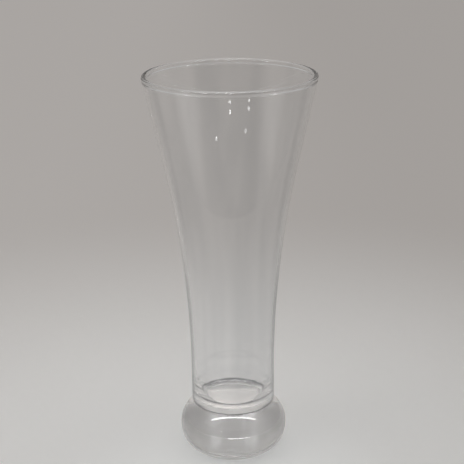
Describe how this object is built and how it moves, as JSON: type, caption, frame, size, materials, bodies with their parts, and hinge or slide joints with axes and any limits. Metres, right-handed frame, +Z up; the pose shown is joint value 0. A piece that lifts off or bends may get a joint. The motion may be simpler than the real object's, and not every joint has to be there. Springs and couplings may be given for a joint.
{
  "type": "beer glass",
  "caption": "Tall clear beer glass: a thin flared bowl with a round lip narrows to a neck and is fused onto a heavy, solid, bulged foot that stands on a flat ring.",
  "frame": {"origin": "centre of the resting ring, on the surface the glass stands on", "axes": "+Z up along the glass's axis of revolution, towards the mouth; +X and +Y are any two square directions across it"},
  "size_m": [0.08, 0.08, 0.184],
  "materials": {
    "bowl_glass": "clear, fire-polished",
    "foot_glass": "clear, pressed, slightly rippled"
  },
  "bodies": {
    "root": {"bowl": "bowl_glass", "foot": "foot_glass"}
  },
  "joints": []
}
